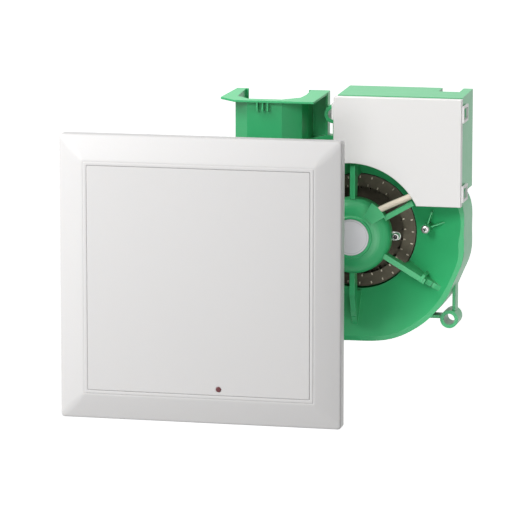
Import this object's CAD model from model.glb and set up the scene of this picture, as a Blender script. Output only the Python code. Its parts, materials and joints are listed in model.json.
"""Looks for a wall fan shown in three groups: the fan case with its electronics, the
square facade, and the filter.

Metres, +Z up. The product faces -Y, so a smaller y is nearer the viewer. Square mouldings
are swept round the Y direction from stations written in millimetres.
"""
import bpy, bmesh, json, math, random
from mathutils import Matrix, Vector, noise

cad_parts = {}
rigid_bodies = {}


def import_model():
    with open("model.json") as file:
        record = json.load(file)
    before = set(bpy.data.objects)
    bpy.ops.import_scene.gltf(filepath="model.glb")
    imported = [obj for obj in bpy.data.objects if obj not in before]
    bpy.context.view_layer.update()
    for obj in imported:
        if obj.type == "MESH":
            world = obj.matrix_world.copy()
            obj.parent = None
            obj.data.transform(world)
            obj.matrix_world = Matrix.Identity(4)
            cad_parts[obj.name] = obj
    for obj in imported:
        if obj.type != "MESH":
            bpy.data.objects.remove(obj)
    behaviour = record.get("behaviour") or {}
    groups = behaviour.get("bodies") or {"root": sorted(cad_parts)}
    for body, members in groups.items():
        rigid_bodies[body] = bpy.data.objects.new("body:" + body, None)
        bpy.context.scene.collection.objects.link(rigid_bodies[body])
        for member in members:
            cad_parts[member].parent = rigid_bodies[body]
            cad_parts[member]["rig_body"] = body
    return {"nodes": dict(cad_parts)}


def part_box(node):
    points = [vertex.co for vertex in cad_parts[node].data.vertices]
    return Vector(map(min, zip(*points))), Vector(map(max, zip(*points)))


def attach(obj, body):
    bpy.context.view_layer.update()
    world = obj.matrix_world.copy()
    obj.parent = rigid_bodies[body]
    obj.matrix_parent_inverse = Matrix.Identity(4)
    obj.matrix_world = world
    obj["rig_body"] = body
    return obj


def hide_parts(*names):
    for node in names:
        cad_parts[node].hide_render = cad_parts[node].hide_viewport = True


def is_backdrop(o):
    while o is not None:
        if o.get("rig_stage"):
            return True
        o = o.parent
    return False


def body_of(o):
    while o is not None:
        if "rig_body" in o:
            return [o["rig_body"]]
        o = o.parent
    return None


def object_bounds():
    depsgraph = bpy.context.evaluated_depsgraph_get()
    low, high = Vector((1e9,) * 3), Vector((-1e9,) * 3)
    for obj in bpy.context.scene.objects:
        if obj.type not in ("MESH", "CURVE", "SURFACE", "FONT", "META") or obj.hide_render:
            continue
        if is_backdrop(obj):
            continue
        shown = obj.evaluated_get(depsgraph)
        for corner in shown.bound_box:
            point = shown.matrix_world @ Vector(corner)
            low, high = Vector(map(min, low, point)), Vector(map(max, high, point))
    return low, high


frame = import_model()
CAD_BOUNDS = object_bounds()
nodes = frame["nodes"]
scene = bpy.context.scene
random.seed(7)

COVER_FRONT = 0.0692   # how far the electronics cover's front plane lies ahead of the origin


# ------------------------------------------------------------------ shader tree
class Tree:
    """A material with a Principled shader, and short ways to add nodes to it."""

    def __init__(self, name):
        self.mat = bpy.data.materials.new(name)
        self.mat.use_nodes = True
        self.nt = self.mat.node_tree
        self.nt.nodes.clear()
        out = self.nt.nodes.new("ShaderNodeOutputMaterial")
        self.bsdf = self.nt.nodes.new("ShaderNodeBsdfPrincipled")
        self.nt.links.new(self.bsdf.outputs[0], out.inputs[0])
        self.coord = self.add("ShaderNodeTexCoord").outputs["Object"]

    def put(self, node, key, value):
        """Links a socket to an input, or sets the input's value."""
        if isinstance(value, bpy.types.NodeSocket):
            self.nt.links.new(value, node.inputs[key])
        else:
            node.inputs[key].default_value = value

    def add(self, kind, inputs=None, **props):
        node = self.nt.nodes.new(kind)
        for key, value in props.items():
            setattr(node, key, value)
        for key, value in (inputs or {}).items():
            self.put(node, key, value)
        return node

    def set(self, **inputs):
        """Fills the Principled shader's inputs; underscores stand for spaces."""
        for key, value in inputs.items():
            self.put(self.bsdf, key.replace("_", " "), value)

    def math(self, op, a, b=0.0, clamp=False):
        return self.add("ShaderNodeMath", {0: a, 1: b}, operation=op, use_clamp=clamp).outputs[0]

    def plus(self, a, b):
        return self.math("ADD", a, b)

    def times(self, a, b):
        return self.math("MULTIPLY", a, b)

    def vary(self, value, amount, start):
        """value * amount + start"""
        return self.plus(self.times(value, amount), start)

    def remap(self, value, span, to=(0.0, 1.0)):
        return self.add("ShaderNodeMapRange", {"Value": value, 1: span[0], 2: span[1],
                                               3: to[0], 4: to[1]}).outputs[0]

    def mix(self, factor, low, high):
        """Blends two colours: low at factor 0, high at factor 1."""
        low, high = (c if isinstance(c, bpy.types.NodeSocket) else (*c, 1.0)
                     for c in (low, high))
        return self.add("ShaderNodeMix", {0: factor, 6: low, 7: high},
                        data_type="RGBA").outputs[2]

    def mapped(self, scale=(1.0, 1.0, 1.0), rotation=(0.0, 0.0, 0.0)):
        return self.add("ShaderNodeMapping", {"Vector": self.coord, "Rotation": rotation,
                                              "Scale": scale}).outputs[0]

    def noise(self, scale, detail=2.0, rough=0.5, vector=None):
        return self.add("ShaderNodeTexNoise", {"Vector": vector or self.coord, "Scale": scale,
                                               "Detail": detail, "Roughness": rough}
                        ).outputs["Fac"]

    def voronoi(self, scale, output="Distance"):
        return self.add("ShaderNodeTexVoronoi", {"Vector": self.coord, "Scale": scale}
                        ).outputs[output]

    def wave(self, scale, distortion):
        """Bands stacked along Y."""
        return self.add("ShaderNodeTexWave", {"Vector": self.coord, "Scale": scale,
                                              "Distortion": distortion, "Detail": 2.0},
                        bands_direction="Y").outputs["Fac"]

    def split(self, vector):
        return self.add("ShaderNodeSeparateXYZ", {"Vector": vector}).outputs

    def bevel(self, radius):
        return self.add("ShaderNodeBevel", {"Radius": radius}, samples=4).outputs[0]

    def normal(self):
        return self.add("ShaderNodeNewGeometry").outputs["Normal"]

    def edge(self, radius, gain):
        """0 on flats, rising to 1 on edges tighter than radius."""
        dot = self.add("ShaderNodeVectorMath", {0: self.bevel(radius), 1: self.normal()},
                       operation="DOT_PRODUCT").outputs["Value"]
        return self.math("MULTIPLY", self.math("SUBTRACT", 1.0, dot), gain, clamp=True)

    def bump(self, height, strength, distance, soft=None):
        """Relief of the given depth; soft is the radius to which edges are rounded."""
        node = self.add("ShaderNodeBump", {"Height": height, "Strength": strength,
                                           "Distance": distance})
        if soft:
            self.put(node, "Normal", self.bevel(soft))
        return node.outputs[0]


def tone(colour, gain):
    return tuple(min(1.0, max(0.0, v * gain)) for v in colour)


# ------------------------------------------------------------------ material recipes
def plastic(name, base, rough=0.38, var=0.06, depth=0.00002, soft=0.0006, edge=0.35,
            edge_colour=None, spec=0.5, dust=0.0, sss=0.0):
    """Moulded plastic. var: colour spread; depth: grain relief; edge: wear on the edges;
    dust: grey on faces that look up."""
    t = Tree(name)
    broad = t.noise(scale=11.0, detail=3.0, rough=0.55)
    mid = t.noise(scale=120.0, detail=3.0, rough=0.6)
    colour = t.mix(broad, tone(base, 1.0 - var), tone(base, 1.0 + var))
    colour = t.mix(t.remap(mid, span=(0.35, 0.7), to=(0.0, 0.35)), colour,
                   tone(base, 1.0 + 0.5 * var))
    worn = t.edge(radius=0.0009, gain=2.4)
    colour = t.mix(t.times(worn, edge), colour, edge_colour or tone(base, 1.35))
    if dust:
        up = t.split(t.normal())["Z"]
        settled = t.times(t.remap(up, span=(0.3, 1.0), to=(0.0, dust)),
                          t.noise(scale=60.0, detail=5.0, rough=0.7))
        colour = t.mix(settled, low=colour, high=(0.62, 0.60, 0.56))
    grain = t.noise(scale=2400.0)
    scratch = t.noise(scale=26.0, detail=6.0, rough=0.75, vector=t.mapped(scale=(1.0, 9.0, 5.0)))
    dull = t.vary(mid, amount=0.10, start=rough - 0.07)
    dull = t.plus(dull, t.remap(scratch, span=(0.62, 0.72), to=(0.0, 0.06)))
    relief = t.plus(grain, t.times(mid, 1.2))
    t.set(Base_Color=colour, Roughness=dull, Specular_IOR_Level=spec,
          Normal=t.bump(relief, strength=0.5, distance=depth, soft=soft))
    if sss:
        t.set(Subsurface_Weight=sss, Subsurface_Radius=(0.0012, 0.0010, 0.0008),
              Subsurface_Scale=1.0)
    return t.mat


def sheet_metal(name, base, rough=0.36, metallic=1.0, spangle=0.12, stretch=(1, 1, 1),
                edge=0.5, pocket=0.0, nubs=None):
    """Plated metal. spangle: strength of the crystal cells; stretch: squeeze of the streaks
    per axis; pocket: recesses narrower than this are dark; nubs: (y, colour) of the pressed
    faces ahead of y."""
    t = Tree(name)
    cells = t.add("ShaderNodeSeparateColor", {"Color": t.voronoi(scale=260.0, output="Color")}
                  ).outputs[0]
    streak = t.noise(scale=900.0, detail=3.0, rough=0.6, vector=t.mapped(scale=stretch))
    patch = t.noise(scale=38.0, detail=4.0, rough=0.6)
    colour = t.mix(t.times(cells, spangle), tone(base, 0.92), tone(base, 1.45))
    colour = t.mix(t.remap(patch, span=(0.3, 0.75), to=(0.0, 0.4)), colour, tone(base, 0.72))
    colour = t.mix(t.times(t.edge(radius=0.0005, gain=2.5), edge), colour, tone(base, 1.9))
    if nubs:
        # the proud faces of the pressed nubs are rubbed bright
        nub_y, bright = nubs
        proud = t.times(t.math("LESS_THAN", t.split(t.coord)["Y"], nub_y),
                        t.remap(patch, span=(0.35, 0.6), to=(0.45, 1.0)))
        colour = t.mix(proud, colour, bright)
    if pocket:
        # grime and shade collect in the recesses
        open_air = t.add("ShaderNodeAmbientOcclusion", {"Distance": pocket},
                         samples=8).outputs["AO"]
        colour = t.mix(t.remap(open_air, span=(0.45, 0.90)), low=(0.012, 0.012, 0.013),
                       high=colour)
    dull = t.vary(streak, amount=0.16, start=t.vary(patch, amount=0.12, start=rough - 0.12))
    t.set(Base_Color=colour, Metallic=metallic, Roughness=dull,
          Normal=t.bump(streak, strength=0.35, distance=0.00003, soft=0.0003))
    return t.mat


def rubber(name, base, rough=0.6):
    t = Tree(name)
    grain = t.noise(scale=650.0, detail=4.0, rough=0.65)
    colour = t.mix(t.noise(scale=40.0), tone(base, 0.85), tone(base, 1.15))
    t.set(Base_Color=colour, Roughness=t.vary(grain, amount=0.2, start=rough - 0.1),
          Normal=t.bump(grain, strength=0.5, distance=0.00005, soft=0.0004))
    return t.mat


def fleece(name, base):
    """Non-woven filter fleece: crossing fibres in three directions."""
    t = Tree(name)
    along_x = t.noise(scale=420.0, detail=5.0, rough=0.7, vector=t.mapped(scale=(1.0, 1.0, 9.0)))
    along_z = t.noise(scale=420.0, detail=5.0, rough=0.7, vector=t.mapped(scale=(9.0, 1.0, 1.0)))
    slanted = t.noise(scale=380.0, detail=5.0, rough=0.7,
                      vector=t.mapped(scale=(10.0, 1.0, 1.2), rotation=(0.0, 0.8, 0.0)))
    fibres = t.math("MAXIMUM", t.math("MAXIMUM", along_x, along_z), slanted)
    clump = t.noise(scale=70.0, detail=4.0, rough=0.6)
    colour = t.mix(t.remap(fibres, span=(0.45, 0.8)), tone(base, 0.72), base)
    colour = t.mix(t.remap(clump, span=(0.3, 0.7), to=(0.0, 0.35)), colour, tone(base, 0.86))
    t.set(Base_Color=colour, Roughness=0.95, Sheen_Weight=0.35, Sheen_Roughness=0.5,
          Normal=t.bump(fibres, strength=0.9, distance=0.00045))
    return t.mat


def foam(name, base):
    t = Tree(name)
    cells = t.plus(t.voronoi(scale=1500.0), t.voronoi(scale=600.0))
    colour = t.mix(t.remap(cells, span=(0.2, 1.0)), tone(base, 0.55), tone(base, 1.15))
    t.set(Base_Color=colour, Roughness=0.92, Sheen_Weight=0.15,
          Normal=t.bump(cells, strength=0.9, distance=0.0003))
    return t.mat


def board(name):
    """Solder-masked board with tracks and pads showing through."""
    t = Tree(name)

    def bricks(turn_y, offset, scale, mortar):
        turned = t.mapped(rotation=(math.radians(90), math.radians(turn_y), 0))
        return t.add("ShaderNodeTexBrick", {"Vector": turned, "Scale": scale,
                                            "Mortar Size": mortar, "Mortar Smooth": 0.2},
                     offset=offset).outputs["Fac"]

    tracks = t.math("MAXIMUM", bricks(turn_y=0, offset=0.37, scale=160.0, mortar=0.035),
                    bricks(turn_y=90, offset=0.61, scale=95.0, mortar=0.03))
    region = t.remap(t.noise(scale=55.0, detail=1.0), span=(0.47, 0.53))
    tracks = t.times(tracks, region)
    colour = t.mix(tracks, low=(0.012, 0.085, 0.035), high=(0.03, 0.17, 0.07))
    pads = t.remap(t.voronoi(scale=230.0), span=(0.16, 0.20), to=(1.0, 0.0))
    colour = t.mix(t.times(pads, region), low=colour, high=(0.62, 0.60, 0.56))
    t.set(Base_Color=colour, Roughness=0.28,
          Normal=t.bump(t.plus(tracks, pads), strength=0.5, distance=0.00004))
    return t.mat


def laminated(name, base):
    t = Tree(name)
    layers = t.wave(scale=320.0, distortion=0.4)
    grain = t.noise(scale=700.0, detail=3.0)
    t.set(Base_Color=t.mix(layers, tone(base, 0.55), tone(base, 1.3)), Metallic=0.9,
          Roughness=t.vary(grain, amount=0.2, start=0.32),
          Normal=t.bump(layers, strength=0.5, distance=0.0001))
    return t.mat


def winding(name):
    t = Tree(name)
    turns = t.wave(scale=420.0, distortion=1.2)
    t.set(Base_Color=t.mix(turns, low=(0.20, 0.06, 0.02), high=(0.72, 0.30, 0.12)),
          Metallic=0.85, Roughness=0.3, Coat_Weight=0.5,
          Normal=t.bump(turns, strength=0.9, distance=0.0003))
    return t.mat


def label_foil(name):
    """Plain grey-white label with a thin printed ring; no lettering."""
    t = Tree(name)
    place = t.split(t.coord)
    radius = t.math("SQRT", t.plus(t.math("POWER", place["X"], 2.0),
                                   t.math("POWER", place["Z"], 2.0)))
    ring = t.times(t.remap(radius, span=(0.0152, 0.0154)),
                   t.remap(radius, span=(0.0157, 0.0159), to=(1.0, 0.0)))
    grain = t.noise(scale=260.0, detail=4.0, rough=0.6)
    colour = t.mix(t.noise(scale=50.0, detail=3.0), low=(0.62, 0.607, 0.637),
                   high=(0.69, 0.677, 0.705))
    colour = t.mix(t.times(ring, 0.45), low=colour, high=(0.30, 0.30, 0.33))
    t.set(Base_Color=colour, Roughness=t.vary(grain, amount=0.15, start=0.34), Metallic=0.15,
          Normal=t.bump(grain, strength=0.3, distance=0.00004, soft=0.0003))
    return t.mat


def lens(name):
    t = Tree(name)
    grain = t.noise(scale=900.0, detail=3.0)
    t.set(Base_Color=t.mix(grain, low=(0.22, 0.006, 0.016), high=(0.13, 0.003, 0.010)),
          Roughness=t.vary(grain, amount=0.1, start=0.16), Transmission_Weight=0.25,
          Coat_Weight=0.6, Coat_Roughness=0.08,
          Normal=t.bump(grain, strength=0.15, distance=0.00003, soft=0.0003))
    return t.mat


# ------------------------------------------------------------------ materials and their pieces
CHROMATE = dict(base=(0.062, 0.055, 0.038), rough=0.42, metallic=0.75, spangle=0.35, edge=0.9)
MATERIALS = {
    "green": plastic("green_moulded_plastic", base=(0.030, 0.370, 0.134), rough=0.36, var=0.07,
                     edge=0.62, edge_colour=(0.20, 0.62, 0.33), dust=0.10, depth=0.000035,
                     spec=0.40),
    "cover": plastic("white_cover_plastic", base=(0.605, 0.596, 0.587), rough=0.40, var=0.012,
                     edge=0.6, edge_colour=(0.95, 0.95, 0.95), sss=0.05),
    "facade": plastic("white_facade_plastic", base=(0.80, 0.79, 0.785), rough=0.42, var=0.010,
                      edge=0.25, soft=0.0014, edge_colour=(0.92, 0.92, 0.92), sss=0.05),
    "base": plastic("white_base_plastic", base=(0.74, 0.74, 0.72), rough=0.45, var=0.02,
                    edge=0.4, sss=0.05),
    "zinc": sheet_metal("zinc_plated_steel", base=(0.44, 0.44, 0.425), rough=0.34, spangle=0.2,
                        pocket=0.0045),
    "sheet": sheet_metal("galvanised_sheet", base=(0.55, 0.55, 0.53), spangle=0.5),
    "dark_sheet": sheet_metal("dark_chromated_sheet", **CHROMATE),
    "ring": sheet_metal("dark_chromated_ring", nubs=(-0.0198, (0.52, 0.47, 0.38)), **CHROMATE),
    "steel": sheet_metal("ground_steel", base=(0.62, 0.62, 0.61), rough=0.22, spangle=0.1,
                         stretch=(1, 14, 1)),
    "spring": sheet_metal("spring_steel", base=(0.52, 0.52, 0.50), rough=0.28, spangle=0.1,
                          stretch=(1, 1, 12)),
    "laminations": laminated("stacked_laminations", base=(0.30, 0.30, 0.31)),
    "copper": winding("enamelled_copper_wire"),
    "label": label_foil("plain_label_foil"),
    "cable": rubber("cream_cable_sheath", base=(0.62, 0.552, 0.44), rough=0.5),
    "rubber": rubber("black_rubber", base=(0.022, 0.022, 0.022)),
    "board": board("solder_masked_board"),
    "dark": plastic("black_component", base=(0.022, 0.022, 0.024), rough=0.34,
                    edge_colour=(0.10, 0.10, 0.10)),
    "yellow": plastic("taped_component", base=(0.62, 0.42, 0.05), rough=0.30, var=0.1),
    "white_part": plastic("white_component", base=(0.74, 0.74, 0.70), rough=0.40),
    "blue": plastic("blue_component", base=(0.02, 0.09, 0.38), rough=0.34),
    "terminal": plastic("grey_terminal", base=(0.13, 0.14, 0.15), rough=0.40),
    "foam": foam("grey_foam", base=(0.20, 0.20, 0.205)),
    "fleece": fleece("filter_fleece", base=(0.86, 0.86, 0.84)),
    "lens": lens("dark_red_lens"),
}

LOOKS = {
    "green": ["scroll_front_shell", "scroll_rear_shell", "electronics_box", "cable_clamp_cover"],
    "cover": ["electronics_cover"],
    "facade": ["facade_frame", "facade_panel"],
    "base": ["facade_base", "filter_frame"],
    "zinc": ["housing_screws", "motor_screws", "board_screws", "impeller_rivets",
             "terminal_screws"],
    "sheet": ["motor_flange", "rotor_can"],
    "ring": ["impeller_front_ring"],
    "dark_sheet": ["impeller_blades", "impeller_back_disc"],
    "steel": ["front_bearing", "rear_bearing", "motor_shaft"],
    "spring": ["facade_springs"],
    "laminations": ["stator_core", "rotor_cage"],
    "copper": ["stator_windings"],
    "label": ["motor_label"],
    "cable": ["motor_cable"],
    "rubber": ["supply_cable_grommet"],
    "board": ["control_board"],
    "dark": ["relay"],
    "yellow": ["transformer"],
    "white_part": ["motor_capacitor", "cable_header", "cable_plug", "run_on_trimmer_dial"],
    "blue": ["run_on_trimmer_body"],
    "terminal": ["terminal_block"],
    "foam": ["wall_seal_strip"],
    "fleece": ["filter_mat"],
    "lens": ["indicator_lens"],
}
for look, names in LOOKS.items():
    for name in names:
        data = nodes[name].data
        data.materials.clear()
        data.materials.append(MATERIALS[look])


# ------------------------------------------------------------------ mesh helpers
def shade(mesh, angle):
    mesh.shade_smooth()
    mesh.set_sharp_from_angle(angle=math.radians(angle))


def mesh_object(name, bm):
    """Turns a bmesh into a linked object with its normals facing out."""
    bmesh.ops.recalc_face_normals(bm, faces=bm.faces)
    mesh = bpy.data.meshes.new(name)
    bm.to_mesh(mesh)
    bm.free()
    obj = bpy.data.objects.new(name, mesh)
    scene.collection.objects.link(obj)
    return obj


def new_piece(name, bm, look, body, angle=35.0):
    obj = mesh_object(name, bm)
    shade(obj.data, angle)
    obj.data.materials.append(MATERIALS[look])
    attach(obj, body)
    return obj


def carve(obj, bm, cutter_name):
    """Cuts the solids in bm out of a piece."""
    cutter = mesh_object(cutter_name, bm)
    mod = obj.modifiers.new("cut", "BOOLEAN")
    mod.operation = "DIFFERENCE"
    mod.solver = "EXACT"
    mod.use_self = True
    mod.object = cutter
    depsgraph = bpy.context.evaluated_depsgraph_get()
    cut = bpy.data.meshes.new_from_object(obj.evaluated_get(depsgraph))
    obj.modifiers.clear()
    obj.data = cut
    mesh = cutter.data
    bpy.data.objects.remove(cutter)
    bpy.data.meshes.remove(mesh)
    shade(obj.data, 35)


def middle(lo, hi, axis):
    return (lo[axis] + hi[axis]) / 2


def skin_rings(bm, rows):
    """Joins closed rows of vertices into a closed ring, the last row to the first."""
    count = len(rows[0])
    for j, row in enumerate(rows):
        after = rows[(j + 1) % len(rows)]
        for i in range(count):
            k = (i + 1) % count
            bm.faces.new((row[i], row[k], after[k], after[i]))


def square_loop(half, radius, seg):
    """Points of a rounded square, seg steps to each corner."""
    points = []
    for corner, (sx, sz) in enumerate(((1, 1), (-1, 1), (-1, -1), (1, -1))):
        for i in range(seg + 1):
            a = math.radians(90 * corner + 90 * i / seg)
            points.append((sx * (half - radius) + radius * math.cos(a),
                           sz * (half - radius) + radius * math.sin(a)))
    return points


def swept_square(bm, centre, stations, seg):
    """Square ring; each station is (half size, y, corner radius), in mm."""
    cx, cy, cz = centre
    skin_rings(bm, [[bm.verts.new((cx + x / 1000, cy + y / 1000, cz + z / 1000))
                     for x, z in square_loop(half, radius, seg)]
                    for half, y, radius in stations])


def soft_box(bm, lo, hi, radius):
    """Box between two corners with its edges rounded."""
    verts = bmesh.ops.create_cube(bm, size=1.0)["verts"]
    for v in verts:
        v.co = Vector([middle(lo, hi, i) + v.co[i] * (hi[i] - lo[i]) for i in range(3)])
    edges = list({e for v in verts for e in v.link_edges})
    bmesh.ops.bevel(bm, geom=edges, offset=radius, segments=2, profile=0.5, affect="EDGES")


def turn_points(radius, seg):
    """Points round a circle."""
    return [(radius * math.cos(2 * math.pi * i / seg), radius * math.sin(2 * math.pi * i / seg))
            for i in range(seg)]


def lathe(bm, cx, cy, profile, seg=64):
    """Ring turned about the vertical through (cx, cy); profile is (radius, z)."""
    skin_rings(bm, [[bm.verts.new((cx + x, cy + y, z)) for x, y in turn_points(radius, seg)]
                    for radius, z in profile])


def solid_of_turn(bm, cx, cz, profile, seg=40):
    """Solid turned about the Y direction through (cx, cz); profile is (radius, y), tip to tip."""
    first = bm.verts.new((cx, profile[0][1], cz))
    last = bm.verts.new((cx, profile[-1][1], cz))
    rows = [[bm.verts.new((cx + x, y, cz + z)) for x, z in turn_points(radius, seg)]
            for radius, y in profile[1:-1]]
    for i in range(seg):
        k = (i + 1) % seg
        bm.faces.new((first, rows[0][i], rows[0][k]))
        bm.faces.new((last, rows[-1][k], rows[-1][i]))
        for a, b in zip(rows, rows[1:]):
            bm.faces.new((a[i], b[i], b[k], a[k]))


def prism(bm, near, far):
    """Closed solid between two outlines with the same number of points."""
    a, b = [[bm.verts.new(p) for p in outline] for outline in (near, far)]
    bm.faces.new(a)
    bm.faces.new(b[::-1])
    for i in range(len(a)):
        k = (i + 1) % len(a)
        bm.faces.new((a[i], b[i], b[k], a[k]))


def rounded(points, radius, seg=4):
    """Rounds the corners of a closed 2-D path."""
    out = []
    for i, point in enumerate(points):
        p = Vector(point)
        back = Vector(points[i - 1]) - p
        ahead = Vector(points[(i + 1) % len(points)]) - p
        reach = min(radius, back.length * 0.45, ahead.length * 0.45)
        start, end = p + back.normalized() * reach, p + ahead.normalized() * reach
        for k in range(seg + 1):
            t = k / seg
            out.append(tuple((1 - t) ** 2 * start + 2 * t * (1 - t) * p + t * t * end))
    return out


# ------------------------------------------------------------------ pieces
# inner part of the facade frame's section, in mm: inset from the outer side, y, corner radius
FRAME_INNER = [
    # shadow groove and the lip beside the panel
    (24.4, -24.74, 1.3), (24.55, -24.62, 1.2), (24.7, -24.55, 1.2), (25, -24.55, 1.2),
    (25.15, -24.68, 1.2), (25.4, -24.95, 1.2), (25.9, -25.0, 1.2), (27.7, -25.0, 1.2),
    (28.1, -24.93, 1.0), (28.28, -24.7, 1.0),
    # inner wall
    (28.28, -20.0, 1.0), (28.28, -16.2, 1.0), (28, -16.0, 1.2), (25.7, -16.0, 1.4),
    # underside of the slope and inside of the outer wall
    (25.5, -16.2, 1.4), (25.5, -22.2, 1.4), (25.1, -22.5, 1.4), (14, -20.3, 1.6),
    (3.4, -18.3, 1.8), (2.4, -17.6, 1.8), (2.2, -16.6, 1.8), (2.2, -5.3, 1.8),
    (1.9, -5.0, 2.0), (0.4, -5.0, 3.0),
]


def build_facade_frame():
    """Bevelled moulding with soft outer edges, mitred corners and a shadow groove."""
    lo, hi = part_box("facade_frame")
    centre = (middle(lo, hi, 0), hi[1] + 0.005, middle(lo, hi, 2))
    half = (hi[0] - lo[0]) / 2 * 1000
    roll = 2.0                          # radius of the outer edge
    stations = [(half, y, 3.0) for y in (-5.4, -11.0, -16.4)]
    for t in range(1, 8):
        a = math.radians(73.0 * t / 7)
        stations.append((half - roll + roll * math.cos(a), -16.9 - roll * math.sin(a),
                         3.0 + 0.15 * t))
    outer_half, outer_y = stations[-1][:2]
    inner_half, inner_y = half - 23.9, -24.72
    for t in range(1, 13):              # the sloping face, bowed slightly forward
        u = t / 12
        bow = 0.22 * math.sin(math.pi * u)
        stations.append((outer_half + (inner_half - outer_half) * u,
                         outer_y + (inner_y - outer_y) * u - bow,
                         4.05 + 3.2 * math.sin(math.pi * u) - 2.6 * u))
    stations += [(half - inset, y, radius) for inset, y, radius in FRAME_INNER]
    bm = bmesh.new()
    swept_square(bm, centre, stations, seg=10)

    # two small blocks near each corner, in mm: place from the centre, then half sizes
    out, along, thin, long = 122, 90, 3, 8
    for sx in (-1, 1):
        for sz in (-1, 1):
            for x, z, wide, tall in ((sx * out, sz * along, thin, long),
                                     (sx * along, sz * out, long, thin)):
                soft_box(bm,
                         (centre[0] + (x - wide) / 1000, centre[1] - 0.0195,
                          centre[2] + (z - tall) / 1000),
                         (centre[0] + (x + wide) / 1000, centre[1] - 0.0122,
                          centre[2] + (z + tall) / 1000), radius=0.0006)
    piece = new_piece("facade_frame_moulding", bm, "facade", "facade", angle=28)
    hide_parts("facade_frame")


def build_wall_seal():
    """Closed-cell foam strip behind the facade base, rough on its rear half."""
    lo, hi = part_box("wall_seal_strip")
    half = (hi[0] - lo[0]) / 2 * 1000
    front, rear = lo[1] * 1000, hi[1] * 1000
    outer, inner = half - 0.1, half - 4.4
    section = rounded([(outer, front + 0.02), (outer, rear - 0.1), (inner, rear - 0.1),
                       (inner, front + 0.02)], 0.5)
    bm = bmesh.new()
    swept_square(bm, (middle(lo, hi, 0), 0.0, middle(lo, hi, 2)),
                 [(h, y, 3.0 if h > half - 2.2 else 1.0) for h, y in section], seg=6)
    bmesh.ops.subdivide_edges(bm, edges=[e for e in bm.edges if e.calc_length() > 0.05],
                              cuts=120)
    for v in bm.verts:
        if v.co.y > (front + rear) / 2000:
            v.co.y -= abs(noise.noise(v.co * 300.0)) * 0.00018
    piece = new_piece("wall_seal_foam", bm, "foam", "facade")
    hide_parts("wall_seal_strip")


def build_grommet():
    """Rubber grommet with rolled lips above and below its waist."""
    lo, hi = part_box("supply_cable_grommet")
    lip, waist, bore = (hi[0] - lo[0]) / 2, 0.0069, 0.0044
    low, top = lo[2], hi[2]
    path = [(bore, low), (lip, low), (lip, low + 0.001), (waist, low + 0.001),
            (waist, top - 0.0022), (lip, top - 0.0022), (lip - 0.0004, top - 0.0006),
            (bore + 0.0018, top), (bore, top - 0.0006)]
    bm = bmesh.new()
    lathe(bm, middle(lo, hi, 0), middle(lo, hi, 1), rounded(path, 0.0006))
    piece = new_piece("supply_cable_rubber_grommet", bm, "rubber", "fan_case",
                      angle=50)
    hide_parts("supply_cable_grommet")


def build_filter_mat():
    """Fleece pad with pinched borders, its rear pressed in where the frame's bars cross it."""
    lo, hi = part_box("filter_mat")
    cells = 84
    bars = (-0.049, 0.0, 0.049)         # x from the pad's centre
    bar_width = 0.0028
    fit = 0.998                         # the pad's size within its box
    cx, cy, cz = (middle(lo, hi, axis) for axis in range(3))
    half_depth = (hi[1] - lo[1]) / 2
    bm = bmesh.new()
    grid = {}
    for side in (-1, 1):                # front sheet, then rear sheet
        for j in range(cells + 1):
            for i in range(cells + 1):
                if side > 0 and (i in (0, cells) or j in (0, cells)):
                    grid[side, i, j] = grid[-1, i, j]
                    continue
                # denser rows of points towards the border keep its roll round
                u = math.sin((2 * i / cells - 1) * math.pi / 2)
                v = math.sin((2 * j / cells - 1) * math.pi / 2)
                x = cx + u * (hi[0] - lo[0]) / 2 * fit
                z = cz + v * (hi[2] - lo[2]) / 2 * fit
                pinch = (1 - abs(u) ** 26) ** 0.5 * (1 - abs(v) ** 26) ** 0.5
                p = Vector((x, side * 3.0, z))
                puff = 0.84 + 0.10 * noise.noise(p * 28.0) + 0.05 * noise.noise(p * 120.0)
                if side > 0:
                    for bar in bars:
                        puff -= 0.16 * math.exp(-(((x - cx - bar) / bar_width) ** 2))
                y = cy + side * half_depth * max(0.0, min(1.0, puff)) * pinch
                grid[side, i, j] = bm.verts.new((x, y, z))
    for side in (-1, 1):
        for j in range(cells):
            for i in range(cells):
                quad = (grid[side, i, j], grid[side, i + 1, j], grid[side, i + 1, j + 1],
                        grid[side, i, j + 1])
                bm.faces.new(quad if side < 0 else quad[::-1])
    piece = new_piece("filter_fleece_pad", bm, "fleece", "filter", angle=80)
    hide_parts("filter_mat")


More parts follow.
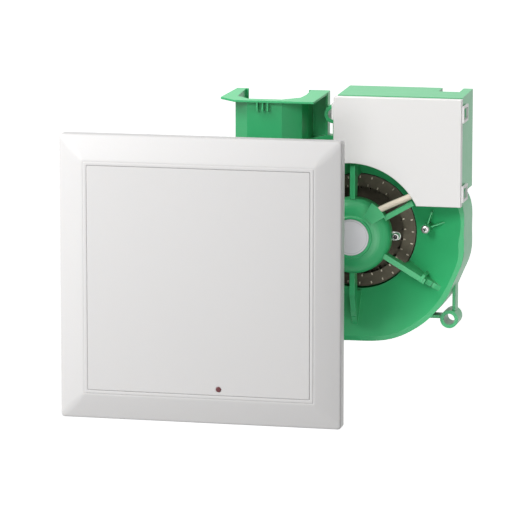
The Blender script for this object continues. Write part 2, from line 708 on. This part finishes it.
def build_housing_screws():
    """Domed pan heads with a tapered cross recess."""
    lo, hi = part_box("housing_screws")
    front, tip = lo[1], hi[1]
    spots = ((0.0683, 0.0073), (-0.0600, -0.0640), (-0.1010, 0.0520))     # x, z
    head, shank = 0.0040, 0.00175       # radii
    dome_depth, head_depth = 0.0016, 0.0022
    profile = [(0.0, front)]
    for t in range(1, 9):
        a = math.radians(90.0 * t / 8)
        profile.append((head * math.sin(a) ** 0.9, front + dome_depth * (1 - math.cos(a))))
    profile += [(head, front + head_depth), (shank, front + head_depth), (shank, tip - 0.0010),
                (0.0010, tip), (0.0, tip)]
    bm = bmesh.new()
    for x, z in spots:
        solid_of_turn(bm, x, z, profile)
    piece = new_piece("housing_screw_set", bm, "zinc", "fan_case", angle=40)

    arm, slot_half = 0.00235, 0.00062   # half length and half width of the cross's slots
    ends = ((front - 0.0006, 1.0), (front + 0.0017, 0.45))                # y, taper
    bm = bmesh.new()
    for number, (x, z) in enumerate(spots):
        turn = Matrix.Rotation(math.radians(18 + 31 * number), 4, "Y")
        for wide, tall in ((arm, slot_half), (slot_half, arm)):
            outlines = []
            for y, taper in ends:
                corners = [turn @ Vector((sx * wide * taper, 0, sz * tall * taper))
                           for sx, sz in ((-1, -1), (1, -1), (1, 1), (-1, 1))]
                outlines.append([(x + p.x, y, z + p.z) for p in corners])
            prism(bm, *outlines)
    carve(piece, bm, "cross_cutter")
    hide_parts("housing_screws")


def build_motor_screws():
    """Three cylinder heads with a deep hexagonal socket, evenly spaced about the Y axis."""
    lo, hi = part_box("motor_screws")
    front, tip = lo[1], hi[1]
    circle, socket = 0.0402, 0.00235    # radius of the screw circle; centre to socket corner
    profile = [(0.0, front), (0.0026, front), (0.0029, front + 0.00008),
               (0.0032, front + 0.00035), (0.0033, front + 0.0008), (0.0033, front + 0.0030),
               (0.0016, front + 0.0030), (0.0016, tip - 0.0008), (0.0010, tip), (0.0, tip)]
    bm = bmesh.new()
    holes = bmesh.new()
    for number in range(3):
        a = math.radians(120 * number - 1)
        x, z = circle * math.cos(a), circle * math.sin(a)
        solid_of_turn(bm, x, z, profile)
        corners = [math.radians(60 * i + 12) for i in range(6)]
        prism(holes, *([(x + socket * math.cos(c), y, z + socket * math.sin(c))
                        for c in corners] for y in (front - 0.001, front + 0.0023)))
    piece = new_piece("motor_screw_set", bm, "zinc", "fan_case", angle=40)
    carve(piece, holes, "hex_cutter")
    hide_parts("motor_screws")


build_facade_frame()
build_wall_seal()
build_grommet()
build_filter_mat()
build_housing_screws()
build_motor_screws()


# ------------------------------------------------------------------ world and floor
def build_world(light, seen):
    """White surroundings: one strength for lighting, one for camera and glossy rays."""
    world = bpy.data.worlds.new("studio_world")
    scene.world = world
    world.use_nodes = True
    tree = world.node_tree
    background = tree.nodes["Background"]
    background.inputs[0].default_value = (1.0, 1.0, 1.0, 1.0)
    ray = tree.nodes.new("ShaderNodeLightPath")
    either = tree.nodes.new("ShaderNodeMath")
    either.operation = "MAXIMUM"
    tree.links.new(ray.outputs["Is Camera Ray"], either.inputs[0])
    tree.links.new(ray.outputs["Is Glossy Ray"], either.inputs[1])
    strength = tree.nodes.new("ShaderNodeMapRange")
    strength.inputs[3].default_value = light
    strength.inputs[4].default_value = seen
    tree.links.new(either.outputs[0], strength.inputs[0])
    tree.links.new(strength.outputs[0], background.inputs[1])


def build_floor(half, drop, glow):
    """Pale floor below the product, glowing only to camera and glossy rays."""
    mesh = bpy.data.meshes.new("floor")
    mesh.from_pydata([(-half, -half, 0), (half, -half, 0), (half, half, 0), (-half, half, 0)],
                     [], [(0, 1, 2, 3)])
    floor = bpy.data.objects.new("floor", mesh)
    scene.collection.objects.link(floor)
    floor.location = (0, 0, CAD_BOUNDS[0][2] - drop)
    t = Tree("pale_floor")
    path = t.add("ShaderNodeLightPath").outputs
    seen = t.math("MAXIMUM", path["Is Camera Ray"], path["Is Glossy Ray"])
    t.set(Base_Color=t.mix(t.noise(scale=3.0), low=(0.90, 0.90, 0.90), high=(0.93, 0.93, 0.93)),
          Roughness=0.8, Emission_Color=(1, 1, 1, 1), Emission_Strength=t.times(seen, glow))
    mesh.materials.append(t.mat)
    floor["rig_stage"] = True


build_world(light=0.34, seen=1.02)
scene.view_settings.view_transform = "Standard"
build_floor(half=30.0, drop=0.45, glow=0.75)


# ------------------------------------------------------------------ lights
FACADE_SIDE = ("facade", "front_panel", "filter")
INSERT_SIDE = ("fan_case", "impeller", "cover", "trimmer_dial")


def add_light(name, bodies, place, aim, size, power):
    """Square soft box that lights only the pieces of the named bodies."""
    data = bpy.data.lights.new(name, "AREA")
    data.shape = "RECTANGLE"
    data.size = size
    data.size_y = size
    data.energy = power
    light = bpy.data.objects.new(name, data)
    scene.collection.objects.link(light)
    light.location = place
    light.rotation_euler = (Vector(aim) - Vector(place)).to_track_quat("-Z", "Y").to_euler()
    receivers = bpy.data.collections.new(name + "_receivers")
    for obj in scene.objects:
        if obj.type in ("MESH", "CURVE") and not obj.get("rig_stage"):
            body = body_of(obj)
            if body and body[0] in bodies:
                receivers.objects.link(obj)
    light.light_linking.receiver_collection = receivers


add_light("key_facade", FACADE_SIDE, place=(-0.98, -1.14, 0.58), aim=(-0.12, -0.12, -0.03),
          size=0.5, power=16.7)
add_light("key_insert", INSERT_SIDE, place=(-0.75, -2.35, 1.35), aim=(0.0, -0.04, 0.02),
          size=0.9, power=32.5)
add_light("front_fill", INSERT_SIDE, place=(0.5, -2.9, 0.5), aim=(0.02, -0.02, 0.0),
          size=2.6, power=20.0)
add_light("side_insert", INSERT_SIDE, place=(1.6, -0.6, 0.5), aim=(0.05, -0.02, 0.0),
          size=1.2, power=1.0)
add_light("top_insert", INSERT_SIDE, place=(0.2, 0.1, 1.8), aim=(0.0, 0.0, 0.0),
          size=1.4, power=22.0)
add_light("duct_kicker", INSERT_SIDE, place=(-0.30, -0.20, 0.42), aim=(-0.06, -0.05, 0.11),
          size=0.15, power=1.0)
add_light("low_fill", INSERT_SIDE, place=(0.25, -1.45, -0.46), aim=(0.04, -0.03, -0.03),
          size=0.9, power=9.5)
add_light("top_facade", FACADE_SIDE, place=(-0.2, -0.1, 1.8), aim=(-0.12, -0.12, 0.0),
          size=1.0, power=3.6)


# ------------------------------------------------------------------ camera
LOOK_DOWN, LOOK_LEFT = 9.61, 12.93     # degrees from a level view along +Y
cam_data = bpy.data.cameras.new("camera")
cam_data.sensor_width = 36.0
cam_data.lens = 253.125
cam_data.clip_end = 100.0
camera = bpy.data.objects.new("camera", cam_data)
scene.collection.objects.link(camera)
camera.location = (0.6654, -3.2947 - COVER_FRONT, 0.5517)
camera.rotation_euler = (math.radians(90 - LOOK_DOWN), 0.0, math.radians(LOOK_LEFT))
scene.camera = camera
